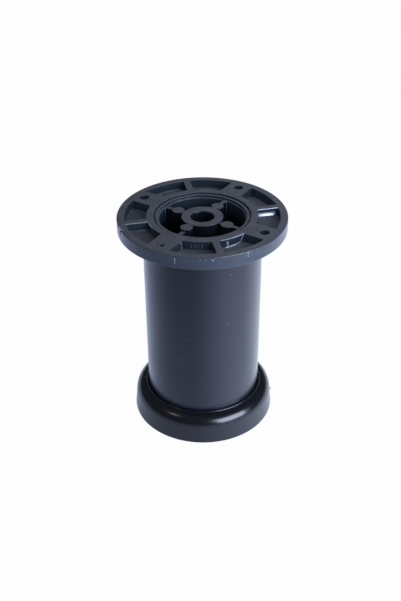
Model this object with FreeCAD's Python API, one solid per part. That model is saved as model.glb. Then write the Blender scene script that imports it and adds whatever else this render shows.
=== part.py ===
import FreeCAD, Part
import math
import os

Vector = FreeCAD.Vector
os.makedirs("parts", exist_ok=True)

# Adjustable cabinet leg, in millimetres.
# It stands on its foot at the origin, with +Z up towards the mounting flange,
# and is shown screwed right down.

# Whole leg
leg_height = 100.0
adjustment = 10.0

# Clearances
press_gap = 0.05
running_gap = 0.05
washer_gap = 0.25
screw_gap = 0.5
cup_gap = 0.7
floor_gap = 0.4

# Tube
tube_diameter = 51.4
tube_wall = 1.2

# Mounting flange
flange_overhang = 10.55
flange_thickness = 5.7
flange_edge_round = 0.4
rim_width = 3.25
pocket_floor = 1.7
pocket_corner_round = 0.4
rib_width = 3.0
pad_width = 10.4
screw_stand_off = 4.3
screw_hole_diameter = 4.0
countersink_diameter = 7.6
mark_offset = 5.6
mark_diameter = 4.6
mark_depth = 0.2

# Inner ring of the flange and its stepped mouth
ring_inset = 0.65
ring_width = 3.1
mouth_step = 0.5
mouth_groove_width = 0.6
mouth_groove_depth = 0.5
upper_ledge_width = 1.8
ledge_drop = 1.1
lower_ledge_width = 0.6
collar_drop = 2.3
spigot_length = 14.0
spigot_wall = 2.5
spigot_lead = 0.5

# Hub, webs and ejector bosses inside the mouth
hub_diameter = 17.8
hub_recess = 0.9
hub_length = 17.0
hub_bore_diameter = 9.6
hub_bore_chamfer = 0.5
web_thickness = 1.8
web_recess = 1.5
boss_circle_diameter = 24.4
boss_diameter = 5.4
boss_recess = 1.3

# Adjusting screw, nut and washer, M10
thread_diameter = 10.0
hexagon_turning = 0.95
hexagon_turning_angle = 30.0
screw_across_flats = 16.0
screw_head_height = 6.4
screw_overrun = 6.2
screw_tip_chamfer = 1.0
nut_across_flats = 16.0
nut_height = 8.4
nut_recess = 0.3
washer_diameter = 30.0
washer_thickness = 2.5

# Foot
foot_width = 5.9
foot_wall_lean = 0.7
foot_shoulder_round = 5.7
foot_base_chamfer = 0.4
foot_lip_round = 0.3
foot_skin = 2.1
foot_cup_wall = 1.8
foot_floor = 1.8
foot_hollow = 0.6
foot_overlap = 0.6
foot_boss_margin = 0.5
foot_boss_plate = 2.6
foot_head_recess = 1.0
foot_rib_count = 12
foot_rib_width = 1.6

# Insert in the tube's lower end
insert_rim = 1.5
insert_lip = 2.6
insert_wall = 2.5
insert_lead = 1.0
insert_hub_wall = 2.8
insert_plate = 3.0
insert_rib_count = 6
insert_rib_width = 2.0
insert_rib_rise = 1.5

# Levels, worked out from the foot upwards
head_top = foot_head_recess + screw_head_height
foot_boss_top = head_top + foot_boss_plate
washer_top = foot_boss_top + washer_thickness
nut_bottom = washer_top + nut_recess
nut_top = nut_bottom + nut_height
plate_top = nut_top + insert_plate
screw_tip = nut_top + adjustment + screw_overrun
foot_floor_top = foot_hollow + foot_floor
insert_bottom = foot_floor_top + floor_gap
insert_top = plate_top + insert_lip
tube_bottom = insert_bottom + insert_rim
foot_height = insert_bottom + adjustment + foot_overlap
flange_underside = leg_height - flange_thickness
pocket_bottom = flange_underside + pocket_floor
collar_bottom = flange_underside - collar_drop
hub_top = leg_height - hub_recess
hub_bottom = hub_top - hub_length

# Radii, worked out from the tube
tube_radius = tube_diameter / 2
plug_radius = tube_radius - tube_wall - press_gap
flange_radius = tube_radius + flange_overhang
screw_circle_radius = tube_radius + screw_stand_off
mark_circle_radius = screw_circle_radius - mark_offset
ring_radius = plug_radius - ring_inset
mouth_radius = ring_radius - ring_width
upper_ledge_radius = mouth_radius - upper_ledge_width
collar_radius = upper_ledge_radius - lower_ledge_width
hub_bore_radius = hub_bore_diameter / 2
cup_radius = tube_radius + cup_gap
cup_outer_radius = cup_radius + foot_cup_wall
foot_base_radius = cup_radius + foot_width
foot_boss_radius = washer_diameter / 2 + foot_boss_margin
thread_radius = thread_diameter / 2


def cylinder(radius, bottom, top):
    return Part.makeCylinder(radius, top - bottom, Vector(0, 0, bottom))


def ring(inner_radius, outer_radius, bottom, top):
    return cylinder(outer_radius, bottom, top).cut(cylinder(inner_radius, bottom, top))


def cone(bottom_radius, top_radius, bottom, top):
    return Part.makeCone(bottom_radius, top_radius, top - bottom, Vector(0, 0, bottom))


def hexagon(across_flats, bottom, top):
    corner_radius = across_flats / 2 / math.cos(math.radians(30))
    corners = []
    for step in range(7):
        angle = math.radians(60 * step)
        corners.append(Vector(corner_radius * math.cos(angle), corner_radius * math.sin(angle), bottom))
    return Part.Face(Part.makePolygon(corners)).extrude(Vector(0, 0, top - bottom))


def spoke(width, inner_radius, outer_radius, bottom, top, angle):
    bar = Part.makeBox(outer_radius - inner_radius, width, top - bottom)
    bar.translate(Vector(inner_radius, -width / 2, bottom))
    bar.rotate(Vector(0, 0, 0), Vector(0, 0, 1), angle)
    return bar


def around(radius, angle):
    return Vector(radius * math.cos(math.radians(angle)), radius * math.sin(math.radians(angle)), 0)


def quarter_turns(start):
    return [start + 90 * step for step in range(4)]


def is_upright(edge):
    start = edge.Vertexes[0].Point
    end = edge.Vertexes[-1].Point
    return math.hypot(start.x - end.x, start.y - end.y) < 1e-6


def is_cup_rim(edge):
    # The circle where the cup's wall meets the rounded shoulder
    curve = edge.Curve
    if not isinstance(curve, Part.Circle):
        return False
    return abs(curve.Radius - cup_radius) < 1e-6 and curve.Center.z > insert_bottom


def circle_edges(shape, radius, height):
    found = []
    for edge in shape.Edges:
        curve = edge.Curve
        if not isinstance(curve, Part.Circle):
            continue
        if abs(curve.Radius - radius) < 1e-6 and abs(curve.Center.z - height) < 1e-6:
            found.append(edge)
    return found


# Mounting flange: its narrow ribs lie on the X and Y axes, its screw pads and webs half-way between

def pockets():
    space = ring(ring_radius, flange_radius - rim_width, pocket_bottom, leg_height)
    bars = []
    for angle in quarter_turns(0):
        bars.append(spoke(rib_width, 0, flange_radius, pocket_bottom, leg_height, angle))
    for angle in quarter_turns(45):
        bars.append(spoke(pad_width, 0, flange_radius, pocket_bottom, leg_height, angle))
    rounded = []
    for pocket in space.cut(bars).Solids:
        uprights = [edge for edge in pocket.Edges if is_upright(edge)]
        rounded.append(pocket.makeFillet(pocket_corner_round, uprights))
    return rounded


def mouth():
    upper_ledge = leg_height - mouth_step
    steps = cylinder(mouth_radius, upper_ledge, leg_height)
    steps = steps.fuse(ring(mouth_radius - mouth_groove_width, mouth_radius,
                            upper_ledge - mouth_groove_depth, leg_height))
    steps = steps.fuse(cylinder(upper_ledge_radius, upper_ledge - ledge_drop, leg_height))
    return steps.fuse(cylinder(collar_radius, collar_bottom, leg_height))


def spigot():
    bottom = flange_underside - spigot_length
    sleeve = cylinder(plug_radius, bottom, flange_underside)
    sleeve = sleeve.makeChamfer(spigot_lead, circle_edges(sleeve, plug_radius, bottom))
    return sleeve.cut(cylinder(plug_radius - spigot_wall, bottom, collar_bottom))


def hub():
    pieces = [cylinder(hub_diameter / 2, hub_bottom, hub_top)]
    web_end = plug_radius - spigot_wall / 2
    web_top = leg_height - web_recess
    for angle in quarter_turns(45):
        pieces.append(spoke(web_thickness, hub_bore_radius, web_end, hub_bottom, web_top, angle))
        boss = cylinder(boss_diameter / 2, hub_bottom, leg_height - boss_recess)
        boss.translate(around(boss_circle_diameter / 2, angle))
        pieces.append(boss)
    return pieces


def hub_bore():
    bore = cylinder(hub_bore_radius, hub_bottom, hub_top)
    return bore.fuse(cone(hub_bore_radius, hub_bore_radius + hub_bore_chamfer,
                          hub_top - hub_bore_chamfer, hub_top))


def screw_holes():
    cuts = []
    hole_radius = screw_hole_diameter / 2
    sink_radius = countersink_diameter / 2
    sink_top = flange_underside + sink_radius - hole_radius
    for angle in quarter_turns(45):
        hole = cylinder(hole_radius, flange_underside, leg_height)
        hole = hole.fuse(cone(sink_radius, hole_radius, flange_underside, sink_top))
        hole.translate(around(screw_circle_radius, angle))
        mark = cylinder(mark_diameter / 2, leg_height - mark_depth, leg_height)
        mark.translate(around(mark_circle_radius, angle))
        cuts += [hole, mark]
    return cuts


def top_flange():
    plate = cylinder(flange_radius, flange_underside, leg_height)
    rims = circle_edges(plate, flange_radius, leg_height)
    rims += circle_edges(plate, flange_radius, flange_underside)
    plate = plate.makeFillet(flange_edge_round, rims)
    plate = plate.cut(pockets()).fuse(spigot()).cut(mouth())
    plate = plate.fuse(hub()).removeSplitter()
    return plate.cut([hub_bore()] + screw_holes())


# Tube: a plain round column between the insert's rim and the flange

def tube():
    return ring(tube_radius - tube_wall, tube_radius, tube_bottom, flange_underside)


# Insert: a plug with a ribbed carrier for the nut, which bears upwards on the carrier's plate

def lower_insert():
    hub_radius = nut_across_flats / 2 / math.cos(math.radians(30)) + insert_hub_wall
    inner_radius = plug_radius - insert_wall
    sleeve = cylinder(plug_radius, insert_bottom, insert_top)
    sleeve = sleeve.makeChamfer(insert_lead, circle_edges(sleeve, plug_radius, insert_top))
    body = sleeve.cut(cylinder(inner_radius, insert_bottom, insert_top))
    body = body.fuse(ring(inner_radius, tube_radius, insert_bottom, tube_bottom))
    carrier = [cylinder(hub_radius, washer_top, plate_top), cylinder(plug_radius, nut_top, plate_top)]
    rib_bottom = washer_top + insert_rib_rise
    for step in range(insert_rib_count):
        angle = 360 / insert_rib_count * step
        carrier.append(spoke(insert_rib_width, 0, inner_radius + insert_wall / 2,
                             rib_bottom, plate_top, angle))
    body = body.fuse(carrier).removeSplitter()
    pocket = hexagon(nut_across_flats + 2 * press_gap, washer_top, nut_top)
    return body.cut([pocket, cylinder(thread_radius + screw_gap, nut_top, plate_top)])


# Nut, screw and washer

def turned_hexagon(across_flats, bottom, top, both_ends):
    # The corners of a bought nut or screw head are turned off at an angle
    narrow = across_flats / 2 * hexagon_turning
    wide = narrow + (top - bottom) / math.tan(math.radians(hexagon_turning_angle))
    blank = hexagon(across_flats, bottom, top).common(cone(narrow, wide, bottom, top))
    if both_ends:
        blank = blank.common(cone(wide, narrow, bottom, top))
    return blank


def captive_nut():
    nut = turned_hexagon(nut_across_flats, nut_bottom, nut_top, True)
    return nut.cut(cylinder(thread_radius + running_gap, nut_bottom, nut_top))


def adjusting_screw():
    head = turned_hexagon(screw_across_flats, foot_head_recess, head_top, False)
    shank = cylinder(thread_radius, head_top, screw_tip)
    shank = shank.makeChamfer(screw_tip_chamfer, circle_edges(shank, thread_radius, screw_tip))
    return head.fuse(shank)


def thrust_washer():
    return ring(thread_radius + washer_gap, washer_diameter / 2, foot_boss_top, washer_top)


# Foot: a round-shouldered cup, cored out from below between its skin and its inner wall

def foot_outside():
    wall_top_radius = foot_base_radius - foot_wall_lean
    shoulder_bottom = foot_height - foot_shoulder_round
    centre_radius = wall_top_radius - foot_shoulder_round
    mid_arc = math.radians(45)
    on_wall = Vector(wall_top_radius, 0, shoulder_bottom)
    on_arc = Vector(centre_radius + foot_shoulder_round * math.cos(mid_arc), 0,
                    shoulder_bottom + foot_shoulder_round * math.sin(mid_arc))
    on_top = Vector(centre_radius, 0, foot_height)
    middle_top = Vector(0, 0, foot_height)
    middle = Vector(0, 0, 0)
    corners = [middle_top, middle, Vector(foot_base_radius - foot_base_chamfer, 0, 0),
               Vector(foot_base_radius, 0, foot_base_chamfer), on_wall]
    edges = [Part.makeLine(start, end) for start, end in zip(corners, corners[1:])]
    edges.append(Part.Arc(on_wall, on_arc, on_top).toShape())
    edges.append(Part.makeLine(on_top, middle_top))
    return Part.Face(Part.Wire(edges)).revolve(middle, Vector(0, 0, 1), 360)


def foot_groove():
    outer = foot_base_radius - foot_skin
    top = foot_height - foot_shoulder_round
    groove = ring(cup_outer_radius, outer, 0, top)
    bars = []
    for step in range(foot_rib_count):
        angle = 360 / foot_rib_count * step
        bars.append(spoke(foot_rib_width, 0, foot_base_radius, foot_hollow, top, angle))
    return groove.cut(bars)


def foot():
    body = foot_outside().cut(cylinder(cup_radius, foot_floor_top, foot_height))
    body = body.makeFillet(foot_lip_round, [edge for edge in body.Edges if is_cup_rim(edge)])
    body = body.fuse(cylinder(foot_boss_radius, foot_hollow, foot_boss_top)).removeSplitter()
    hollow = cylinder(cup_outer_radius, 0, foot_hollow)
    pocket = hexagon(screw_across_flats + 2 * press_gap, 0, head_top)
    hole = cylinder(thread_radius + running_gap, head_top, foot_boss_top)
    return body.cut([foot_groove(), hollow, pocket, hole])


pieces = {
    "top_flange": top_flange,
    "tube": tube,
    "lower_insert": lower_insert,
    "captive_nut": captive_nut,
    "adjusting_screw": adjusting_screw,
    "thrust_washer": thrust_washer,
    "foot": foot,
}
for name, make in pieces.items():
    make().exportStep("parts/" + name + ".step")
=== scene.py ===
import math
import random

import bmesh
import bpy
from bpy.props import FloatProperty, FloatVectorProperty, IntProperty, PointerProperty
from mathutils import Matrix, Vector


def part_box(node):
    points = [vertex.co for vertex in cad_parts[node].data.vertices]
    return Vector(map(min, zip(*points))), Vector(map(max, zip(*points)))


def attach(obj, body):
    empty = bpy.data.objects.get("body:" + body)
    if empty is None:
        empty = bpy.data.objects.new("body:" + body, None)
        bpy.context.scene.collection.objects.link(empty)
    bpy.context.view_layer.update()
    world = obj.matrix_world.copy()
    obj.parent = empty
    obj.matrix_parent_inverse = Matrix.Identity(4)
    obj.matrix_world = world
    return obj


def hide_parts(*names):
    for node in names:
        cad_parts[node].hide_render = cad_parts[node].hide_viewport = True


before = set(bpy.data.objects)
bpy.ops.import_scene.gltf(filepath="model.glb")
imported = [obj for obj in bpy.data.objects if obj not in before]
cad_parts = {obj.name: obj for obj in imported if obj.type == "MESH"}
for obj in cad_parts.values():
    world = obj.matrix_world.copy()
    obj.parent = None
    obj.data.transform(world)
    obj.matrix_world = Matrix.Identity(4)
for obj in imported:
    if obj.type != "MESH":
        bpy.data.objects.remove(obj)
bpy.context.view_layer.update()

bl_info = {
    "name": "Adjustable Cabinet Leg",
    "version": (1, 0, 0),
    "blender": (4, 5, 0),
    "location": "3D View > Sidebar > Cabinet Leg",
    "description": "Builds the finished look of an adjustable cabinet leg round its solids",
    "category": "Object",
}

MM = 0.001


# Sizes read from the solids

def outer_radius(node):
    low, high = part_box(node)
    return (high.x - low.x) / 2


def levels(node):
    return [corner.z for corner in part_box(node)]


TUBE_BOTTOM, TUBE_TOP = levels("tube")
WASHER_BOTTOM, WASHER_TOP = levels("thrust_washer")
LEG_TOP = levels("top_flange")[1]
LIP_TOP = levels("foot")[1]
SCREW_TIP = levels("adjusting_screw")[1]
FLANGE_RADIUS = outer_radius("top_flange")
TUBE_RADIUS = outer_radius("tube")
WASHER_RADIUS = outer_radius("thrust_washer")

# Sizes of the solids that their boxes don't give. A circle is given by its radius.
POCKET_FLOOR = LEG_TOP - 4.0 * MM
POCKET_INNER = 23.8 * MM
POCKET_OUTER = 33.0 * MM
NARROW_RIB = 3.0 * MM
SCREW_PAD = 10.4 * MM
SCREW_CIRCLE = 30.0 * MM
SCREW_HOLE = 2.0 * MM
MARK_CIRCLE = 24.4 * MM
MARK_RADIUS = 2.6 * MM
MOUTH_RADIUS = 20.7 * MM
WELL_RADIUS = 18.0 * MM
BOSS_CIRCLE = 12.2 * MM
BOSS_RADIUS = 2.7 * MM
BOSS_TOP = LEG_TOP - 1.3 * MM
TUBE_WALL = 1.2 * MM
LIP_RADIUS = 26.35 * MM
HEAD_TOP = 7.4 * MM
THREAD_RADIUS = 4.98 * MM
WASHER_HOLE = 5.25 * MM

# Turn of the front left screw hole and boss, in degrees round the leg
FRONT_LEFT = -135


# Settings that a user may change

class LegSizes(bpy.types.PropertyGroup):
    edge_round: FloatProperty(
        name="Flange edge round", description="Radius on the flange's moulded edges",
        default=0.18 * MM, unit="LENGTH", precision=5)
    tube_edge_round: FloatProperty(
        name="Tube edge round", description="Radius on the tube's cut ends",
        default=0.12 * MM, unit="LENGTH", precision=5)
    foot_edge_round: FloatProperty(
        name="Foot edge round", description="Radius on the foot's ribs and pocket edges",
        default=0.12 * MM, unit="LENGTH", precision=5)
    metal_edge_round: FloatProperty(
        name="Metal edge round", description="Radius on the screw, nut and washer edges",
        default=0.2 * MM, unit="LENGTH", precision=5)
    pocket_fillet: FloatProperty(
        name="Pocket fillet", description="Radius at the foot of the pockets' walls",
        default=0.5 * MM, unit="LENGTH", precision=5)
    wide_fillet: FloatProperty(
        name="Wide fillet", description="Radius at the foot of the right rib's front side",
        default=2.6 * MM, unit="LENGTH", precision=5)
    lip_bead: FloatProperty(
        name="Lip bead", description="Radius of the bead round the foot's mouth",
        default=0.46 * MM, unit="LENGTH", precision=5)
    tall_boss: FloatProperty(
        name="Tall boss", description="Height of the front left boss above the others",
        default=0.8 * MM, unit="LENGTH", precision=5)
    flash_hole: FloatProperty(
        name="Flash hole", description="Radius left open by the film in the front left screw hole",
        default=0.92 * MM, unit="LENGTH", precision=5)
    thread_pitch: FloatProperty(
        name="Thread pitch", description="Distance from one thread to the next",
        default=1.5 * MM, unit="LENGTH", precision=5)
    thread_depth: FloatProperty(
        name="Thread depth", description="Depth of the screw's thread",
        default=0.92 * MM, unit="LENGTH", precision=5)
    steps_round: IntProperty(
        name="Steps round", description="Number of steps round a turned piece",
        default=192, min=24, max=512)


class LegColours(bpy.types.PropertyGroup):
    # Painted shade: the walls inside the mouth have a darker copy of the pocket walls' colour
    flange: FloatVectorProperty(
        name="Flange plastic", description="Colour of the flange's plastic inside its mouth",
        default=(0.0060, 0.0085, 0.0115), subtype="COLOR", min=0, max=1)
    flange_pocket: FloatVectorProperty(
        name="Flange pockets", description="Colour of the walls of the flange's pockets",
        default=(0.021, 0.031, 0.042), subtype="COLOR", min=0, max=1)
    flange_face: FloatVectorProperty(
        name="Flange face", description="Colour of the flange's dull upward faces",
        default=(0.107, 0.107, 0.111), subtype="COLOR", min=0, max=1)
    flange_rim: FloatVectorProperty(
        name="Flange rim", description="Colour of the flange's rubbed outer side",
        default=(0.044, 0.057, 0.078), subtype="COLOR", min=0, max=1)
    tube: FloatVectorProperty(
        name="Tube coating", description="Colour of the tube's satin coating",
        default=(0.0078, 0.0100, 0.0190), subtype="COLOR", min=0, max=1)
    foot: FloatVectorProperty(
        name="Foot plastic", description="Colour of the foot's glossy plastic",
        default=(0.0045, 0.0052, 0.0080), subtype="COLOR", min=0, max=1)
    insert: FloatVectorProperty(
        name="Insert plastic", description="Colour of the plug in the tube's lower end",
        default=(0.030, 0.030, 0.032), subtype="COLOR", min=0, max=1)
    zinc: FloatVectorProperty(
        name="Zinc plating", description="Colour of the plated screw, nut and washer",
        default=(0.62, 0.63, 0.66), subtype="COLOR", min=0, max=1)
    # Colour of scratches, dust, nicks and chips, and of the painted edge highlights on the flange
    scuff_and_highlight: FloatVectorProperty(
        name="Scuffed plastic", description="Colour of scratched and frayed plastic",
        default=(0.34, 0.37, 0.42), subtype="COLOR", min=0, max=1)
    # Colour of the painted highlights in the pockets and on edges, and of pale torn plastic
    highlight_and_tear: FloatVectorProperty(
        name="Polished plastic", description="Colour of the shiny lines and patches in the pockets",
        default=(0.82, 0.90, 1.0), subtype="COLOR", min=0, max=1)


class LegStudio(bpy.types.PropertyGroup):
    lens: FloatProperty(
        name="Lens", description="Focal length on a 36 mm sensor", default=53.34, min=10)
    distance: FloatProperty(
        name="Camera distance", description="From the camera to its aim",
        default=0.4003, unit="LENGTH")
    turn: FloatProperty(
        name="Camera turn", description="Turn of the camera round the leg",
        default=math.radians(-12.3), unit="ROTATION")
    height: FloatProperty(
        name="Camera elevation", description="Angle of the camera above the horizon",
        default=math.radians(33.396), unit="ROTATION")
    roll: FloatProperty(
        name="Camera roll", description="Roll of the camera about its own line of sight",
        default=math.radians(-0.422), unit="ROTATION")
    aim_height: FloatProperty(
        name="Aim height", description="Height of the point that the camera looks at",
        default=56.32 * MM, unit="LENGTH")
    aside: FloatProperty(
        name="Camera offset", description="Shift of the camera to its own right",
        default=-1.03 * MM, unit="LENGTH", precision=5)
    daylight: FloatVectorProperty(
        name="Daylight", description="Colour of the window's light and of the light from all round",
        default=(0.70, 0.79, 1.0), subtype="COLOR", min=0, max=1)
    lamplight: FloatVectorProperty(
        name="Lamplight", description="Colour of the small lamp's light",
        default=(1.0, 0.82, 0.62), subtype="COLOR", min=0, max=1)
    window: FloatProperty(
        name="Window", description="Brightness of the window on the right", default=6.0)
    lamp: FloatProperty(
        name="Lamp", description="Brightness of the small warm lamp on the left", default=3.0)
    fill: FloatProperty(
        name="Fill", description="Brightness of the light from all round", default=0.50)
    dark: FloatProperty(
        name="Dark room", description="Brightness of the room as glossy surfaces see it", default=0.06)


# Meshes

def shade_evenly(piece):
    for face in piece.data.polygons:
        face.use_smooth = True
    even = piece.modifiers.new("even_shading", "WEIGHTED_NORMAL")
    even.mode = "FACE_AREA"
    even.weight = 50
    even.keep_sharp = False


def new_object(name, bm, material):
    mesh = bpy.data.meshes.new(name)
    bm.to_mesh(mesh)
    bm.free()
    mesh.materials.append(material)
    thing = bpy.data.objects.new(name, mesh)
    bpy.context.scene.collection.objects.link(thing)
    return thing


def add_piece(name, bm, material, body, slot, *nodes):
    piece = new_object(name, bm, material)
    shade_evenly(piece)
    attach(piece, body)
    if nodes:
        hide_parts(*nodes)


def only_verts(items):
    return [item for item in items if isinstance(item, bmesh.types.BMVert)]


def turn_profile(bm, points, steps):
    # Spins a closed outline of (radius, height) points once round the Z axis
    outline = [bm.verts.new((radius, 0, height)) for radius, height in points]
    edges = []
    for start, end in zip(outline, outline[1:] + outline[:1]):
        edges.append(bm.edges.new((start, end)))
    bmesh.ops.spin(bm, geom=outline + edges, cent=(0, 0, 0), axis=(0, 0, 1),
                   angle=2 * math.pi, steps=steps, use_merge=True, use_duplicate=False)
    bmesh.ops.remove_doubles(bm, verts=bm.verts, dist=1e-7)
    bmesh.ops.recalc_face_normals(bm, faces=bm.faces)


def arc_points(centre, radius, start, end, steps):
    points = []
    for step in range(steps + 1):
        angle = math.radians(start + (end - start) * step / steps)
        points.append((centre[0] + radius * math.cos(angle), centre[1] + radius * math.sin(angle)))
    return points


def rounded_ring(inner, outer, low, high, small):
    # Outline of a ring's section with its four corners rounded
    corners = [(outer - small, low + small, -90, 0), (outer - small, high - small, 0, 90),
               (inner + small, high - small, 90, 180), (inner + small, low + small, 180, 270)]
    points = []
    for across, up, start, end in corners:
        points += arc_points((across, up), small, start, end, 4)
    return points


def on_circle(radius, azimuth, height):
    turn = math.radians(azimuth)
    return Vector((radius * math.cos(turn), radius * math.sin(turn), height))


def merged_copy(node):
    # A solid's mesh with its flat faces joined again
    bm = bmesh.new()
    bm.from_mesh(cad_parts[node].data)
    bmesh.ops.remove_doubles(bm, verts=bm.verts, dist=2e-6)
    bmesh.ops.dissolve_limit(bm, angle_limit=math.radians(0.3), verts=bm.verts, edges=bm.edges)
    return bm


def sharp_edges(bm, angle):
    return [edge for edge in bm.edges
            if edge.is_manifold and edge.calc_face_angle(0) > math.radians(angle)]


def bevel_edges(bm, edges, width, segments):
    bmesh.ops.bevel(bm, geom=edges, offset=width, segments=segments, profile=0.5,
                    affect="EDGES", offset_type="OFFSET", clamp_overlap=False, material=-1)


def fillet_section(bm, foot, out, size):
    # Outline of a concave fillet in the corner of a floor and a wall, sunk a little into both
    sunk, steps = 0.05 * MM, 6
    spots = [(-sunk, -sunk), (size, -sunk)]
    for step in range(steps + 1):
        angle = math.pi / 2 * step / steps
        spots.append((size * (1 - math.sin(angle)), size * (1 - math.cos(angle))))
    spots.append((-sunk, size))
    return bm.faces.new([bm.verts.new(foot + out * a + Vector((0, 0, b))) for a, b in spots])


def straight_fillet(bm, start, end, out, size):
    face = fillet_section(bm, start, out, size)
    made = bmesh.ops.extrude_face_region(bm, geom=[face])["geom"]
    bmesh.ops.translate(bm, verts=only_verts(made), vec=end - start)


def curved_fillet(bm, radius, start, sweep, direction, size):
    out = on_circle(direction, start, 0)
    face = fillet_section(bm, on_circle(radius, start, POCKET_FLOOR), out, size)
    bmesh.ops.spin(bm, geom=[face] + list(face.edges) + list(face.verts), cent=(0, 0, 0),
                   axis=(0, 0, 1), angle=math.radians(sweep), steps=12,
                   use_merge=False, use_duplicate=False)


def add_sliver(bm, start, end, width):
    # A thin pointed strand, as torn plastic leaves
    along = end - start
    turn = along.to_track_quat("Z", "Y").to_matrix().to_4x4()
    place = Matrix.Translation((start + end) / 2) @ turn
    bmesh.ops.create_cone(bm, cap_ends=True, segments=6, radius1=width, radius2=width * 0.15,
                          depth=along.length, matrix=place)


# Materials. The scale of a pattern counts its waves in a metre.

def add_node(tree, kind, inputs=None, **settings):
    node = tree.nodes.new(kind)
    for key, value in settings.items():
        setattr(node, key, value)
    for key, value in (inputs or {}).items():
        if isinstance(value, bpy.types.NodeSocket):
            tree.links.new(value, node.inputs[key])
        else:
            node.inputs[key].default_value = value
    return node


def maths(tree, operation, first, second=0.0, third=0.0):
    return add_node(tree, "ShaderNodeMath", {0: first, 1: second, 2: third},
                    operation=operation).outputs[0]


def product(tree, *values):
    result = values[0]
    for value in values[1:]:
        result = maths(tree, "MULTIPLY", result, value)
    return result


def strongest(tree, *values):
    result = values[0]
    for value in values[1:]:
        result = maths(tree, "MAXIMUM", result, value)
    return result


def vector_maths(tree, operation, first, second=(0, 0, 0), scale=1.0):
    node = add_node(tree, "ShaderNodeVectorMath", {0: first, 1: second, 3: scale}, operation=operation)
    one_number = operation in ("DISTANCE", "DOT_PRODUCT", "LENGTH")
    return node.outputs["Value" if one_number else "Vector"]


def axes_of(tree, vector):
    return add_node(tree, "ShaderNodeSeparateXYZ", {0: vector}).outputs[:]


def between(tree, value, low, high):
    # 0 below low and 1 above high, with a smooth step in the middle
    return add_node(tree, "ShaderNodeMapRange", {0: value, 1: low, 2: high},
                    interpolation_type="SMOOTHSTEP").outputs[0]


def mix_colour(tree, factor, first, second):
    return add_node(tree, "ShaderNodeMix", {0: factor, 6: first, 7: second},
                    data_type="RGBA").outputs[2]


def noise(tree, where, scale, detail=3.0, roughness=0.55, distortion=0.0):
    return add_node(tree, "ShaderNodeTexNoise", {
        "Vector": where, "Scale": scale, "Detail": detail, "Roughness": roughness,
        "Distortion": distortion}).outputs["Fac"]


def opaque(colour):
    return (colour[0], colour[1], colour[2], 1.0)


def clouded(tree, factor, colour, change):
    # A colour that drifts towards a lighter or darker one
    return mix_colour(tree, factor, opaque(colour), opaque([channel * change for channel in colour]))


def start_material(name, **constants):
    material = bpy.data.materials.new(name)
    material.use_nodes = True
    tree = material.node_tree
    shader = tree.nodes["Principled BSDF"]
    for key, value in constants.items():
        shader.inputs[key.replace("_", " ")].default_value = value
    where = add_node(tree, "ShaderNodeTexCoord").outputs["Object"]
    return material, tree, shader, where


def finish_shader(tree, shader, colour, rough):
    tree.links.new(colour, shader.inputs["Base Color"])
    tree.links.new(rough, shader.inputs["Roughness"])


def set_bump(tree, shader, height, distance, strength=1.0):
    bump = add_node(tree, "ShaderNodeBump", {
        "Strength": strength, "Distance": distance, "Height": height})
    for normal in ("Normal", "Coat Normal"):
        tree.links.new(bump.outputs[0], shader.inputs[normal])


def specks(tree, where, scale, share, size):
    # Small round spots, in only a share of the cells
    cells = add_node(tree, "ShaderNodeTexVoronoi", {"Vector": where, "Scale": scale})
    red = add_node(tree, "ShaderNodeSeparateColor", {0: cells.outputs["Color"]}).outputs[0]
    inside = maths(tree, "LESS_THAN", cells.outputs["Distance"], size)
    return product(tree, inside, maths(tree, "LESS_THAN", red, share))


def hairlines(tree, where, scale, stretch, turn, thin):
    # Long thin scratches that run one way and come and go
    stretched = add_node(tree, "ShaderNodeMapping", {
        "Vector": where, "Rotation": turn, "Scale": stretch}).outputs[0]
    wave = noise(tree, stretched, scale, 2.0, 0.5, 0.4)
    from_middle = maths(tree, "ABSOLUTE", maths(tree, "SUBTRACT", wave, 0.5))
    patch = between(tree, noise(tree, where, 90.0), 0.52, 0.7)
    return product(tree, between(tree, from_middle, thin, 0.0), patch)


def edge_mask(tree, radius):
    # 1 along an edge, 0 on a flat face
    rounded = add_node(tree, "ShaderNodeBevel", {"Radius": radius}, samples=4).outputs[0]
    true = add_node(tree, "ShaderNodeNewGeometry").outputs["Normal"]
    return between(tree, vector_maths(tree, "DOT_PRODUCT", rounded, true), 0.995, 0.85)


def stroke(tree, where, start, end, half_width):
    # A soft-edged mark along the line between two points, 1 in its middle
    along = end - start
    aside = vector_maths(tree, "SUBTRACT", where, start)
    share = vector_maths(tree, "DOT_PRODUCT", aside, along / along.length_squared)
    share = add_node(tree, "ShaderNodeClamp", {0: share}).outputs[0]
    nearest = vector_maths(tree, "SCALE", along, scale=share)
    away = vector_maths(tree, "DISTANCE", aside, nearest)
    return between(tree, away, half_width, half_width * 0.45)


def strokes(tree, where, marks, fine):
    # The strongest of several marks at each place: radius, turn and height of both ends in mm and
    # degrees, half width in mm and strength
    made = [0.0]
    for start, end, half_width, strength in marks:
        start = on_circle(start[0] * MM, start[1], start[2] * MM)
        end = on_circle(end[0] * MM, end[1], end[2] * MM)
        made.append(product(tree, stroke(tree, where, start, end, half_width * MM), strength))
    return product(tree, strongest(tree, *made), between(tree, fine, 0.25, 0.55))


def round_mark(tree, where, centre, size):
    return between(tree, vector_maths(tree, "DISTANCE", where, centre), size, size * 0.4)
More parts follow.
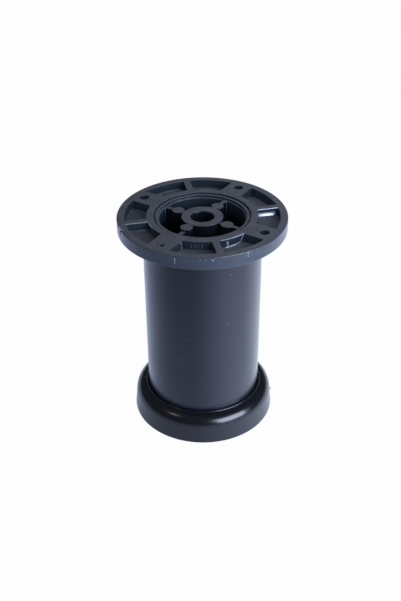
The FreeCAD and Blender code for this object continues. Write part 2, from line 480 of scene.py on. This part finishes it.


# Nicks in the rim, and pale upright marks in the front pockets and beside the front left rib
NICKS = (
    ((36.25, -120.1, 96.6), (36.25, -120.1, 98.9), 0.33, 0.60),
    ((36.25, -139.2, 97.1), (36.25, -139.2, 97.5), 0.28, 0.35),
    ((36.25, -104.0, 98.4), (36.25, -104.0, 99.4), 0.18, 0.35),
    ((36.25, -100.4, 98.4), (36.25, -100.4, 99.4), 0.20, 0.40),
    ((36.25, -96.0, 98.6), (36.25, -96.2, 98.9), 0.42, 0.85),
    ((36.25, -74.5, 97.8), (36.25, -74.5, 99.4), 0.20, 0.40),
    ((36.25, -72.5, 97.7), (36.25, -72.7, 99.6), 0.36, 0.90),
    ((36.25, -69.9, 97.5), (36.25, -69.9, 99.3), 0.22, 0.40),
    ((36.25, -65.2, 97.2), (36.25, -65.2, 99.0), 0.22, 0.35),
    ((23.80, -76.8, 97.2), (23.80, -77.2, 98.7), 0.60, 0.90),
    ((23.80, -113.4, 97.2), (23.80, -113.4, 98.5), 0.22, 0.40),
    ((23.80, -109.7, 97.2), (23.80, -109.7, 98.6), 0.25, 0.50),
    ((23.80, -106.6, 97.2), (23.80, -106.6, 98.3), 0.20, 0.35),
    ((23.80, -102.9, 97.2), (23.80, -102.9, 98.6), 0.25, 0.50),
    ((25.00, -123.0, 99.7), (24.75, -122.9, 98.6), 0.30, 0.90),
    ((24.30, -122.6, 97.1), (24.20, -122.5, 96.6), 0.40, 1.00),
)

# Painted highlights, and a torn spot: the rim's torn spot of pale torn plastic, a painted reflection
# of a window
#  on the right rib's wide fillet, and painted highlights on edges of the ribs and the inner ring
HIGHLIGHTS_AND_TEAR = (
    ((35.99, -174.9, 99.95), (36.04, -171.1, 99.90), 0.30, 1.00),
    ((35.69, -171.3, 99.98), (36.25, -169.2, 99.40), 0.30, 1.00),
    ((35.38, -170.1, 99.98), (36.25, -168.5, 98.90), 0.30, 1.00),
    ((36.25, -175.9, 97.90), (36.25, -168.2, 99.40), 0.24, 0.80),
    ((24.85, -4.25, 97.45), (31.10, -3.40, 97.60), 1.02, 0.88),
    ((24.05, -3.58, 99.9), (33.00, -2.60, 99.9), 0.34, 0.80),
    ((23.95, -78.5, 96.4), (23.95, -71.0, 96.5), 0.30, 0.65),
    ((23.95, -71.0, 96.5), (23.95, -62.5, 96.8), 0.34, 0.80),
    ((23.95, -62.0, 96.9), (23.90, -57.8, 99.8), 0.30, 0.70),
    ((23.85, -84.0, 99.95), (23.85, -72.0, 99.95), 0.26, 0.35),
    ((23.85, -72.0, 99.95), (23.85, -58.5, 99.95), 0.32, 0.60),
    ((33.00, -177.4, 99.95), (23.90, -176.4, 99.95), 0.26, 0.40),
    ((23.85, -175.0, 99.95), (23.85, -162.0, 99.95), 0.26, 0.34),
)


def flange_scratches(tree, where, upward):
    # Fine scratches, dust and one rubbed spot, all on the upward faces
    scratch = hairlines(tree, where, 260.0, (1.0, 0.12, 1.0), (0, 0, 0.9), 0.012)
    other = hairlines(tree, where, 300.0, (0.1, 1.0, 1.0), (0, 0, 0.3), 0.010)
    dust = specks(tree, where, 420.0, 0.035, 0.16)
    away = vector_maths(tree, "DISTANCE", where, (5 * MM, -7 * MM, LEG_TOP))
    near = between(tree, away, 5.5 * MM, 2.5 * MM)
    rubbed = product(tree, specks(tree, where, 950.0, 0.3, 0.22), near, 0.3)
    scratched = product(tree, strongest(tree, scratch, other), 0.22)
    return product(tree, strongest(tree, scratched, product(tree, dust, 0.35), rubbed), upward)


def flange_edge_highlights(tree, radius, facing, fine):
    # Painted highlights on the edges: they are a little pale on the lit side, and paler on walls that
    #  face the front right, towards the window, most so round the mouth.
    edge = edge_mask(tree, 0.25 * MM)
    lit_side = maths(tree, "MULTIPLY_ADD", axes_of(tree, facing)[0], 0.5, 0.5)
    front_right = vector_maths(tree, "DOT_PRODUCT", facing, (0.64, -0.77, 0.0))
    mouth = maths(tree, "LESS_THAN", radius, MOUTH_RADIUS + 0.6 * MM)
    inside = maths(tree, "LESS_THAN", radius, POCKET_OUTER + 0.6 * MM)
    lit_edges = product(tree, maths(tree, "MULTIPLY_ADD", mouth, 0.60, 0.35), inside,
                   between(tree, front_right, 0.0, 0.5), between(tree, fine, 0.30, 0.55), edge)
    return strongest(tree, product(tree, edge, lit_side, 0.16), lit_edges)


def flange_relief(tree, where, radius, height):
    # Fine grain, and turned rings on the inner ring's top
    ring_pitch = 0.62 * MM
    grain = noise(tree, where, 3200.0, 2.0, 0.6)
    rings = maths(tree, "SINE", product(tree, radius, 2 * math.pi / ring_pitch))
    inner = maths(tree, "LESS_THAN", radius, POCKET_INNER + 0.2 * MM)
    top = maths(tree, "GREATER_THAN", height, LEG_TOP - 0.1 * MM)
    return maths(tree, "MULTIPLY_ADD", product(tree, rings, inner, top), 0.35, grain)


def flange_plastic(colours):
    # Polished mould walls stay black and glossy. Upward faces and the outer rim are dull and rubbed.
    material, tree, shader, where = start_material(
        "flange_moulded_black", IOR=1.6, Specular_Tint=(0.85, 0.92, 1.0, 1.0), Coat_Weight=1.0,
        Coat_IOR=1.6, Coat_Roughness=0.3)
    right, back, height = axes_of(tree, where)
    flat = add_node(tree, "ShaderNodeCombineXYZ", {0: right, 1: back}).outputs[0]
    radius = vector_maths(tree, "LENGTH", flat)
    turn = maths(tree, "ARCTAN2", back, right)
    facing = add_node(tree, "ShaderNodeTexCoord").outputs["Normal"]
    upward = between(tree, axes_of(tree, facing)[2], 0.55, 0.97)
    outer = maths(tree, "GREATER_THAN", radius, FLANGE_RADIUS - 0.3 * MM)
    pocket = maths(tree, "GREATER_THAN", radius, WELL_RADIUS)
    mottle = noise(tree, where, 150.0, 4.0, 0.6)
    fine = noise(tree, where, 900.0, 3.0, 0.65)
    # Upright streaks on the rim
    rim_place = add_node(tree, "ShaderNodeCombineXYZ", {
        0: product(tree, turn, FLANGE_RADIUS), 1: product(tree, height, 0.04)}).outputs[0]
    streak = between(tree, noise(tree, rim_place, 900.0, 2.0, 0.6), 0.60, 0.80)
    # The dull faces are cloudy, and a little lighter towards the right, as painted light from the
    # window's side
    cloudy_and_lit_right = maths(tree, "MULTIPLY_ADD", mottle, 0.5, maths(tree, "MULTIPLY_ADD", fine, 0.5, 0.5))
    cloudy_and_lit_right = maths(tree, "MULTIPLY_ADD", right, 0.16 / FLANGE_RADIUS, cloudy_and_lit_right)
    face = mix_colour(tree, outer, opaque(colours.flange_face), opaque(colours.flange_rim))
    face = vector_maths(tree, "SCALE", face, scale=cloudy_and_lit_right)
    # Walls inside the mouth take the darker colour as painted shade
    walls_with_mouth_shade = mix_colour(tree, pocket, opaque(colours.flange), opaque(colours.flange_pocket))
    colour = mix_colour(tree, strongest(tree, upward, outer), walls_with_mouth_shade, face)
    # Scratches, dust, streaks and nicks, with the painted edge highlights, all in the scuff colour
    marks = strongest(tree, flange_scratches(tree, where, upward),
                      flange_edge_highlights(tree, radius, facing, fine), product(tree, streak, outer, 0.07),
                      strokes(tree, where, NICKS, fine))
    colour = mix_colour(tree, marks, colour, opaque(colours.scuff_and_highlight))
    # Painted highlights, and the rim's pale torn spot, in the highlight colour
    shiny = strokes(tree, where, HIGHLIGHTS_AND_TEAR, maths(tree, "ADD", fine, 0.18))
    colour = mix_colour(tree, shiny, colour, opaque(colours.highlight_and_tear))
    rough = maths(tree, "MULTIPLY_ADD", mottle, 0.12, maths(tree, "MULTIPLY_ADD", upward, 0.24, 0.22))
    finish_shader(tree, shader, colour, rough)
    tree.links.new(product(tree, shiny, 0.7), shader.inputs["Metallic"])
    tree.links.new(outer, shader.inputs["Coat Weight"])
    set_bump(tree, shader, flange_relief(tree, where, radius, height), 0.03 * MM, 0.5)
    return material


# Chips in the tube's coat: turn in degrees, height and size in mm
CHIPS = ((-77.9, 59.2, 0.7), (-118.0, 52.4, 0.55), (-125.6, 40.8, 0.6), (-75.5, 83.9, 0.6),
         (-122.0, 58.0, 0.35))


def tube_coat(colours):
    material, tree, shader, where = start_material(
        "tube_satin_coat", IOR=1.6, Coat_Weight=1.0, Coat_IOR=1.6, Coat_Roughness=0.25)
    cloud = noise(tree, where, 45.0, 3.0)
    dust = specks(tree, where, 170.0, 0.03, 0.07)
    rub = hairlines(tree, where, 120.0, (1.0, 1.0, 0.15), (0.2, 0, 0), 0.008)
    chips = [product(tree, round_mark(
        tree, where, on_circle(TUBE_RADIUS, azimuth, level * MM), size * MM), 0.14)
        for azimuth, level, size in CHIPS]
    marks = strongest(tree, product(tree, dust, 0.2), product(tree, rub, 0.05), *chips)
    colour = mix_colour(tree, marks, clouded(tree, cloud, colours.tube, 1.2), opaque(colours.scuff_and_highlight))
    finish_shader(tree, shader, colour, maths(tree, "MULTIPLY_ADD", cloud, 0.05, 0.24))
    set_bump(tree, shader, noise(tree, where, 1300.0, 2.0, 0.5), 0.02 * MM, 0.35)
    return material


def foot_gloss(colours):
    material, tree, shader, where = start_material(
        "foot_glossy_black", IOR=1.7, Coat_Weight=0.6, Coat_IOR=1.6, Coat_Roughness=0.22)
    cloud = noise(tree, where, 70.0, 3.0)
    swirl = hairlines(tree, where, 220.0, (0.15, 1.0, 1.0), (0, 0, 0.5), 0.008)
    dust = specks(tree, where, 260.0, 0.03, 0.10)
    marks = strongest(tree, product(tree, dust, 0.3), product(tree, swirl, 0.12))
    colour = mix_colour(tree, marks, clouded(tree, cloud, colours.foot, 1.25), opaque(colours.scuff_and_highlight))
    rough = maths(tree, "MULTIPLY_ADD", cloud, 0.05, 0.20)
    finish_shader(tree, shader, colour, maths(tree, "MULTIPLY_ADD", swirl, 0.15, rough))
    set_bump(tree, shader, noise(tree, where, 500.0, 2.0), 0.02 * MM, 0.25)
    return material


def insert_plastic(colours):
    material, tree, shader, where = start_material("insert_moulded_black", IOR=1.5)
    mottle = noise(tree, where, 200.0, 4.0)
    finish_shader(tree, shader, clouded(tree, mottle, colours.insert, 1.5),
                  maths(tree, "MULTIPLY_ADD", mottle, 0.2, 0.42))
    set_bump(tree, shader, noise(tree, where, 2500.0, 2.0), 0.03 * MM, 0.5)
    return material


def frayed_plastic(colours):
    material, tree, shader, where = start_material("frayed_plastic", Roughness=0.3)
    mottle = noise(tree, where, 900.0, 3.0)
    # The strands are dark or white; the white is pale torn plastic, in the colour of the painted
    # highlights
    dull = opaque([channel * 0.4 for channel in colours.flange_rim])
    tree.links.new(mix_colour(tree, between(tree, mottle, 0.44, 0.52), dull, opaque(colours.highlight_and_tear)),
                   shader.inputs["Base Color"])
    set_bump(tree, shader, mottle, 0.03 * MM, 0.4)
    return material


def zinc_plating(colours):
    material, tree, shader, where = start_material("zinc_plating", Metallic=1.0)
    cloud = noise(tree, where, 260.0, 4.0, 0.65)
    drawn = noise(tree, add_node(tree, "ShaderNodeMapping", {
        "Vector": where, "Scale": (1.0, 1.0, 0.08)}).outputs[0], 1800.0, 2.0)
    finish_shader(tree, shader, clouded(tree, between(tree, cloud, 0.35, 0.75), colours.zinc, 0.72),
                  maths(tree, "MULTIPLY_ADD", cloud, 0.25, 0.18))
    set_bump(tree, shader, drawn, 0.02 * MM, 0.4)
    return material


# Flange

class CABINETLEG_OT_flange(bpy.types.Operator):
    """Round the moulded edges of the flange and give it its plastic"""
    bl_idname = "cabinetleg.flange"
    bl_label = "Flange"

    def execute(self, context):
        sizes = context.scene.leg_sizes
        bm = merged_copy("top_flange")
        edges = [edge for edge in sharp_edges(bm, 30) if not in_ejector_mark(edge)]
        bevel_edges(bm, edges, sizes.edge_round, 3)
        add_piece("flange_moulding", bm, flange_plastic(context.scene.leg_colours),
                  "column", "flange_plastic", "top_flange")
        return {"FINISHED"}


def in_ejector_mark(edge):
    # The shallow round marks on the screw pads keep their crisp edges
    middle = (edge.verts[0].co + edge.verts[1].co) / 2
    centre = MARK_CIRCLE * math.sqrt(0.5)
    away = math.hypot(abs(middle.x) - centre, abs(middle.y) - centre)
    return away < MARK_RADIUS and middle.z > LEG_TOP - 0.3 * MM


class CABINETLEG_OT_pocket_fillets(bpy.types.Operator):
    """Lay the moulded fillets at the foot of the pockets' walls"""
    bl_idname = "cabinetleg.pocket_fillets"
    bl_label = "Pocket fillets"

    def execute(self, context):
        sizes = context.scene.leg_sizes
        bm = bmesh.new()
        for quarter in range(4):
            for side in (-1, 1):
                wide = quarter == 0 and side == -1
                size = sizes.wide_fillet if wide else sizes.pocket_fillet
                rib_fillet(bm, 90 * quarter, side * NARROW_RIB / 2, size)
                rib_fillet(bm, 90 * quarter + 45, side * SCREW_PAD / 2, sizes.pocket_fillet)
                for radius, direction in ((POCKET_INNER, 1), (POCKET_OUTER, -1)):
                    start = math.degrees(math.asin(NARROW_RIB / 2 / radius))
                    end = 45 - math.degrees(math.asin(SCREW_PAD / 2 / radius))
                    curved_fillet(bm, radius, 90 * quarter + side * start, side * (end - start),
                                  direction, sizes.pocket_fillet)
        bmesh.ops.recalc_face_normals(bm, faces=bm.faces)
        add_piece("pocket_fillets", bm, bpy.data.materials["flange_moulded_black"],
                  "column", "flange_plastic")
        return {"FINISHED"}


def rib_fillet(bm, azimuth, aside, size):
    turn = Matrix.Rotation(math.radians(azimuth), 3, "Z")
    inner = math.sqrt(POCKET_INNER ** 2 - aside ** 2)
    outer = math.sqrt(POCKET_OUTER ** 2 - aside ** 2)
    start = turn @ Vector((inner, aside, POCKET_FLOOR))
    end = turn @ Vector((outer, aside, POCKET_FLOOR))
    straight_fillet(bm, start, end, turn @ Vector((0, math.copysign(1, aside), 0)), size)


class CABINETLEG_OT_flash(bpy.types.Operator):
    """Leave the film of plastic in the front left screw hole"""
    bl_idname = "cabinetleg.flash"
    bl_label = "Hole flash"

    def execute(self, context):
        film = 0.3 * MM
        hole = on_circle(SCREW_CIRCLE, FRONT_LEFT, LEG_TOP - film - 0.01 * MM)
        bm = bmesh.new()
        bmesh.ops.create_circle(bm, cap_ends=False, radius=SCREW_HOLE + 0.2 * MM, segments=40,
                                matrix=Matrix.Translation(hole))
        made = bmesh.ops.extrude_edge_only(bm, edges=bm.edges[:])["geom"]
        # The opening that the film leaves is uneven, and nearer to the hole's front
        centre = hole + on_circle(0.8 * MM, -102, 0)
        for vert in only_verts(made):
            away = (vert.co - hole).normalized()
            azimuth = math.atan2(away.y, away.x)
            uneven = 1 + 0.10 * math.sin(3 * azimuth + 1) + 0.07 * math.sin(7 * azimuth)
            vert.co = centre + away * context.scene.leg_sizes.flash_hole * uneven
        made = bmesh.ops.extrude_face_region(bm, geom=bm.faces[:])["geom"]
        bmesh.ops.translate(bm, verts=only_verts(made), vec=(0, 0, film))
        bmesh.ops.recalc_face_normals(bm, faces=bm.faces)
        add_piece("hole_flash", bm, bpy.data.materials["flange_moulded_black"],
                  "column", "flange_plastic")
        return {"FINISHED"}


class CABINETLEG_OT_tall_boss(bpy.types.Operator):
    """Raise the front left ejector boss above the other three"""
    bl_idname = "cabinetleg.tall_boss"
    bl_label = "Tall boss"

    def execute(self, context):
        tall = context.scene.leg_sizes.tall_boss
        sunk = 0.3 * MM
        middle = on_circle(BOSS_CIRCLE, FRONT_LEFT, BOSS_TOP + (tall - sunk) / 2)
        bm = bmesh.new()
        bmesh.ops.create_cone(bm, cap_ends=True, segments=64, radius1=BOSS_RADIUS,
                              radius2=BOSS_RADIUS, depth=tall + sunk,
                              matrix=Matrix.Translation(middle))
        bevel_edges(bm, sharp_edges(bm, 60), 0.2 * MM, 3)
        add_piece("tall_boss", bm, bpy.data.materials["flange_moulded_black"],
                  "column", "flange_plastic")
        return {"FINISHED"}


class CABINETLEG_OT_burrs(bpy.types.Operator):
    """Leave the torn burrs on the flange's rim and on the foot's side"""
    bl_idname = "cabinetleg.burrs"
    bl_label = "Burrs"

    def execute(self, context):
        bm = bmesh.new()
        add_rim_strands(bm)
        add_piece("rim_burr", bm, frayed_plastic(context.scene.leg_colours),
                  "column", "flange_plastic")
        bm = bmesh.new()
        for start, end, width in FOOT_STRANDS:
            add_sliver(bm, on_circle(start[0] * MM, start[1], start[2] * MM),
                       on_circle(end[0] * MM, end[1], end[2] * MM), width * MM)
        add_piece("foot_burr", bm, bpy.data.materials["foot_glossy_black"], "foot", "foot_plastic")
        return {"FINISHED"}


# The foot's torn strands: radius, turn and height of both ends in mm and degrees, and width in mm
FOOT_STRANDS = (
    ((31.6, -12, 5.3), (32.9, -11, 5.9), 0.2),
    ((31.7, -11, 5.6), (32.6, -14, 5.1), 0.15),
)


def add_rim_strands(bm):
    # Thin strands in every direction round the rim's torn spot, kept inside the flange's reach
    chance = random.Random(11)
    leftmost = 0.26 * MM - FLANGE_RADIUS
    for _ in range(30):
        azimuth = -171.0 + chance.uniform(-1, 1) * 4.5
        start = on_circle(FLANGE_RADIUS + chance.uniform(-0.05, 0.15) * MM, azimuth,
                          LEG_TOP - chance.uniform(0.2, 1.7) * MM)
        end = start + on_circle(chance.uniform(0.0, 0.6) * MM, azimuth, 0)
        end += on_circle(chance.uniform(-1.4, 1.4) * MM, azimuth + 90, 0)
        end.z = min(end.z + chance.uniform(-0.9, 0.9) * MM, LEG_TOP - 0.15 * MM)
        for tip in (start, end):
            tip.x = max(tip.x, leftmost)
        add_sliver(bm, start, end, chance.uniform(0.12, 0.25) * MM)


# Tube

class CABINETLEG_OT_tube(bpy.types.Operator):
    """Turn the tube and give it its satin coating"""
    bl_idname = "cabinetleg.tube"
    bl_label = "Tube"

    def execute(self, context):
        sizes = context.scene.leg_sizes
        bm = bmesh.new()
        turn_profile(bm, rounded_ring(TUBE_RADIUS - TUBE_WALL, TUBE_RADIUS, TUBE_BOTTOM, TUBE_TOP,
                                      sizes.tube_edge_round), sizes.steps_round)
        add_piece("tube_sleeve", bm, tube_coat(context.scene.leg_colours),
                  "column", "tube_paint", "tube")
        return {"FINISHED"}


# Foot

class CABINETLEG_OT_foot(bpy.types.Operator):
    """Round the foot's edges and lay the bead on its lip"""
    bl_idname = "cabinetleg.foot"
    bl_label = "Foot"

    def execute(self, context):
        scene = context.scene
        sizes = scene.leg_sizes
        bm = merged_copy("foot")
        bevel_edges(bm, sharp_edges(bm, 35), sizes.foot_edge_round, 2)
        add_piece("foot_cup", bm, foot_gloss(scene.leg_colours), "foot", "foot_plastic", "foot")
        bm = bmesh.new()
        centre = (LIP_RADIUS, LIP_TOP)
        turn_profile(bm, arc_points(centre, sizes.lip_bead, 0, 330, 11), sizes.steps_round)
        add_piece("foot_lip", bm, bpy.data.materials["foot_glossy_black"], "foot", "foot_plastic")
        return {"FINISHED"}


# Screw, nut and washer

class CABINETLEG_OT_fixings(bpy.types.Operator):
    """Make the plated screw with its thread, the nut and the washer"""
    bl_idname = "cabinetleg.fixings"
    bl_label = "Screw, nut and washer"

    def execute(self, context):
        sizes = context.scene.leg_sizes
        plating = zinc_plating(context.scene.leg_colours)
        bm = merged_copy("adjusting_screw")
        shank = [vert for vert in bm.verts if vert.co.z > HEAD_TOP + 0.05 * MM]
        bmesh.ops.delete(bm, geom=shank, context="VERTS")
        bmesh.ops.holes_fill(bm, edges=bm.edges)
        bevel_edges(bm, sharp_edges(bm, 25), sizes.metal_edge_round, 2)
        add_thread(bm, sizes)
        bmesh.ops.recalc_face_normals(bm, faces=bm.faces)
        add_piece("threaded_screw", bm, plating, "foot", "zinc_plated_steel", "adjusting_screw")
        bm = merged_copy("captive_nut")
        bevel_edges(bm, sharp_edges(bm, 25), sizes.metal_edge_round, 2)
        add_piece("hexagon_nut", bm, plating, "column", "zinc_plated_steel", "captive_nut")
        bm = bmesh.new()
        turn_profile(bm, rounded_ring(WASHER_HOLE, WASHER_RADIUS, WASHER_BOTTOM, WASHER_TOP,
                                      sizes.metal_edge_round), sizes.steps_round)
        add_piece("round_washer", bm, plating, "washer", "zinc_plated_steel", "thrust_washer")
        return {"FINISHED"}


def add_thread(bm, sizes):
    # The shank's core, and a thread wound round it from the head to just below the tip
    steps = 48
    core = THREAD_RADIUS - sizes.thread_depth
    pitch = sizes.thread_pitch
    start = HEAD_TOP - 0.5 * MM
    turns = int((SCREW_TIP - 1.2 * MM - start) / pitch) - 1
    # Outline of one turn of the thread: radius, and height as a share of the pitch
    shape = [(core, 0.0), (core, 0.12), (THREAD_RADIUS, 0.5), (THREAD_RADIUS, 0.62), (core, 1.0)]
    outline = [bm.verts.new((radius, 0, start + share * pitch)) for radius, share in shape]
    edges = [bm.edges.new(pair) for pair in zip(outline, outline[1:])]
    bm.faces.new(outline)
    made = bmesh.ops.spin(bm, geom=outline + edges, cent=(0, 0, 0), axis=(0, 0, 1),
                          dvec=(0, 0, pitch / steps), angle=2 * math.pi * turns,
                          steps=steps * turns, use_merge=False, use_duplicate=False)
    bm.faces.new(sorted(only_verts(made["geom_last"]), key=lambda vert: vert.co.z))
    bmesh.ops.remove_doubles(bm, verts=bm.verts, dist=1e-7)
    point = 0.6 * MM
    side = core + 0.02 * MM
    rod = [(0.0, start), (side, start), (side, SCREW_TIP - point), (core - point, SCREW_TIP),
           (0.0, SCREW_TIP)]
    outline = [bm.verts.new((radius, 0, height)) for radius, height in rod]
    edges = [bm.edges.new(pair) for pair in zip(outline, outline[1:])]
    bmesh.ops.spin(bm, geom=outline + edges, cent=(0, 0, 0), axis=(0, 0, 1),
                   angle=2 * math.pi, steps=steps, use_merge=True, use_duplicate=False)
    bmesh.ops.remove_doubles(bm, verts=bm.verts, dist=1e-7)


# Insert

class CABINETLEG_OT_insert(bpy.types.Operator):
    """Give the plug in the tube's lower end its plastic"""
    bl_idname = "cabinetleg.insert"
    bl_label = "Lower insert"

    def execute(self, context):
        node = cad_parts["lower_insert"]
        node.material_slots[0].material = insert_plastic(context.scene.leg_colours)
        return {"FINISHED"}


# Stage

def light_direction(studio, azimuth, elevation):
    # Azimuth is measured to the right of the camera's own side of the leg
    across, up = math.radians(azimuth) + studio.turn, math.radians(elevation)
    return Vector((math.sin(across) * math.cos(up), -math.cos(across) * math.cos(up), math.sin(up)))


def add_light(name, towards, distance, width, height, brightness, colour):
    data = bpy.data.lights.new(name, "AREA")
    data.shape = "RECTANGLE"
    data.size = width
    data.size_y = height
    data.energy = math.pi * width * height * brightness
    data.color = colour[:3]
    lamp = bpy.data.objects.new(name, data)
    bpy.context.scene.collection.objects.link(lamp)
    lamp.location = Vector((0, 0, 50 * MM)) + towards * distance
    lamp.rotation_mode = "QUATERNION"
    lamp.rotation_quaternion = towards.to_track_quat("Z", "Y")


def add_camera(studio):
    turn, up, roll = studio.turn, studio.height, studio.roll
    forward = Vector((-math.sin(turn) * math.cos(up), math.cos(turn) * math.cos(up), -math.sin(up)))
    level = Vector((math.cos(turn), math.sin(turn), 0))
    upright = level.cross(forward)
    right = math.cos(roll) * level + math.sin(roll) * upright
    top = math.cos(roll) * upright - math.sin(roll) * level
    data = bpy.data.cameras.new("camera")
    data.lens = studio.lens
    data.sensor_width = 36
    data.clip_start = 0.01
    camera = bpy.data.objects.new("camera", data)
    bpy.context.scene.collection.objects.link(camera)
    place = Vector((0, 0, studio.aim_height)) - forward * studio.distance + right * studio.aside
    axes = Matrix((right, top, -forward)).transposed().to_4x4()
    camera.matrix_world = Matrix.Translation(place) @ axes
    bpy.context.scene.camera = camera


def seen_by_camera(tree):
    # 1 for what the camera sees, straight or through something clear, and 1 for what gloss sees
    path = add_node(tree, "ShaderNodeLightPath").outputs
    return strongest(tree, path["Is Camera Ray"], path["Is Transmission Ray"]), path["Is Glossy Ray"]


# How bright gloss sees the floor, by degrees round the leg from behind it, anticlockwise as seen
# from above: bright on the window's side and in a patch behind the left, and dim at the front
# left, where the leg shades it
FLOOR_LIGHT = (
    (0, 0.50), (12, 0.62), (28, 0.95), (50, 0.68), (82, 0.47), (104, 0.31), (124, 0.25),
    (158, 0.21), (180, 0.30), (206, 0.70), (223, 0.80), (241, 0.88), (261, 0.80), (284, 1.0),
    (312, 1.0), (338, 1.0), (350, 0.70), (360, 0.50),
)


def floor_light(tree, studio):
    where = add_node(tree, "ShaderNodeTexCoord").outputs["Object"]
    right, back, _ = axes_of(tree, where)
    turn = maths(tree, "ARCTAN2", right, product(tree, back, -1.0))
    turn = maths(tree, "SUBTRACT", turn, studio.turn + math.pi)
    share = maths(tree, "FRACT", product(tree, turn, 1 / (2 * math.pi)))
    ramp = add_node(tree, "ShaderNodeValToRGB", {0: share})
    ramp.color_ramp.interpolation = "B_SPLINE"
    stops = ramp.color_ramp.elements
    stops[0].position, stops[-1].position = 0.0, 1.0
    for degrees, _ in FLOOR_LIGHT[1:-1]:
        stops.new(degrees / 360)
    for stop, (_, level) in zip(stops, FLOOR_LIGHT):
        pale = 0.10 * level ** 4
        stop.color = (level * (0.60 + pale), level * (0.69 + pale), level, 1)
    # Near the foot the floor shows less of the leg's own shade
    reach = vector_maths(tree, "LENGTH", where)
    near = product(tree, between(tree, reach, 160 * MM, 80 * MM), 0.11)
    near = maths(tree, "MULTIPLY_ADD", between(tree, reach, 60 * MM, 42 * MM), 0.10, near)
    near = vector_maths(tree, "SCALE", (0.62, 0.71, 1.0), scale=near)
    return vector_maths(tree, "MINIMUM", vector_maths(tree, "ADD", ramp.outputs[0], near), (1, 1, 1))


def paper_floor(studio):
    # The camera sees white paper with a faint shadow, and gloss sees the light that lies on it
    white_share = 0.975
    material = bpy.data.materials.new("white_paper")
    material.use_nodes = True
    tree = material.node_tree
    tree.nodes.clear()
    direct, glossy = seen_by_camera(tree)
    lit = add_node(tree, "ShaderNodeBsdfDiffuse", {"Color": (0.8, 0.8, 0.8, 1)})
    gloss = add_node(tree, "ShaderNodeEmission", {"Color": floor_light(tree, studio), "Strength": 1.0})
    paper = add_node(tree, "ShaderNodeEmission", {"Color": (1, 1, 1, 1), "Strength": 1.0})
    mixed = add_node(tree, "ShaderNodeMixShader", {
        0: product(tree, direct, white_share), 1: lit.outputs[0], 2: paper.outputs[0]})
    mixed = add_node(tree, "ShaderNodeMixShader", {
        0: glossy, 1: mixed.outputs[0], 2: gloss.outputs[0]})
    add_node(tree, "ShaderNodeOutputMaterial", {"Surface": mixed.outputs[0]})
    return material


def pale_world(studio):
    # The camera sees white all round, gloss sees a dim room, and the rest is an even fill
    world = bpy.data.worlds.new("studio")
    world.use_nodes = True
    tree = world.node_tree
    tree.nodes.clear()
    direct, glossy = seen_by_camera(tree)
    strength = maths(tree, "MULTIPLY_ADD", glossy, studio.dark - studio.fill, studio.fill)
    room = add_node(tree, "ShaderNodeBackground", {
        "Color": opaque(studio.daylight), "Strength": strength})
    white = add_node(tree, "ShaderNodeBackground", {"Color": (1, 1, 1, 1), "Strength": 1.0})
    mixed = add_node(tree, "ShaderNodeMixShader", {0: direct, 1: room.outputs[0], 2: white.outputs[0]})
    add_node(tree, "ShaderNodeOutputWorld", {"Surface": mixed.outputs[0]})
    return world


class CABINETLEG_OT_stage(bpy.types.Operator):
    """Set up the white floor, the lights and the camera"""
    bl_idname = "cabinetleg.stage"
    bl_label = "Stage"

    def execute(self, context):
        scene = context.scene
        studio = scene.leg_studio
        scene.view_settings.view_transform = "Standard"
        bm = bmesh.new()
        bmesh.ops.create_circle(bm, cap_ends=True, radius=4.0, segments=64)
        floor = new_object("floor", bm, paper_floor(studio))
        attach(floor, "washer")
        scene.world = pale_world(studio)
        add_light("window", light_direction(studio, 47, 25), distance=1.0, width=0.83, height=0.60,
                  brightness=studio.window, colour=studio.daylight)
        add_light("lamp", light_direction(studio, -62, 48), distance=0.8, width=0.12, height=0.12,
                  brightness=studio.lamp, colour=studio.lamplight)
        add_camera(studio)
        return {"FINISHED"}


class CABINETLEG_PT_panel(bpy.types.Panel):
    """Lists the steps that build the leg"""
    bl_idname = "CABINETLEG_PT_panel"
    bl_label = "Cabinet Leg"
    bl_space_type = "VIEW_3D"
    bl_region_type = "UI"
    bl_category = "Cabinet Leg"

    def draw(self, context):
        layout = self.layout
        for group in (context.scene.leg_sizes, context.scene.leg_colours, context.scene.leg_studio):
            box = layout.box()
            for name in group.__annotations__:
                box.prop(group, name)
        for step in STEPS:
            layout.operator(step.bl_idname)


GROUPS = {"leg_sizes": LegSizes, "leg_colours": LegColours, "leg_studio": LegStudio}
STEPS = (CABINETLEG_OT_flange, CABINETLEG_OT_pocket_fillets, CABINETLEG_OT_tube,
         CABINETLEG_OT_foot, CABINETLEG_OT_flash, CABINETLEG_OT_tall_boss, CABINETLEG_OT_burrs,
         CABINETLEG_OT_fixings, CABINETLEG_OT_insert, CABINETLEG_OT_stage)
CLASSES = tuple(GROUPS.values()) + STEPS + (CABINETLEG_PT_panel,)


def register():
    for cls in CLASSES:
        bpy.utils.register_class(cls)
    for name, group in GROUPS.items():
        setattr(bpy.types.Scene, name, PointerProperty(type=group))


def unregister():
    for name in GROUPS:
        delattr(bpy.types.Scene, name)
    for cls in reversed(CLASSES):
        bpy.utils.unregister_class(cls)


def main():
    register()
    for step in STEPS:
        category, name = step.bl_idname.split(".")
        getattr(getattr(bpy.ops, category), name)()


if __name__ == "__main__":
    main()
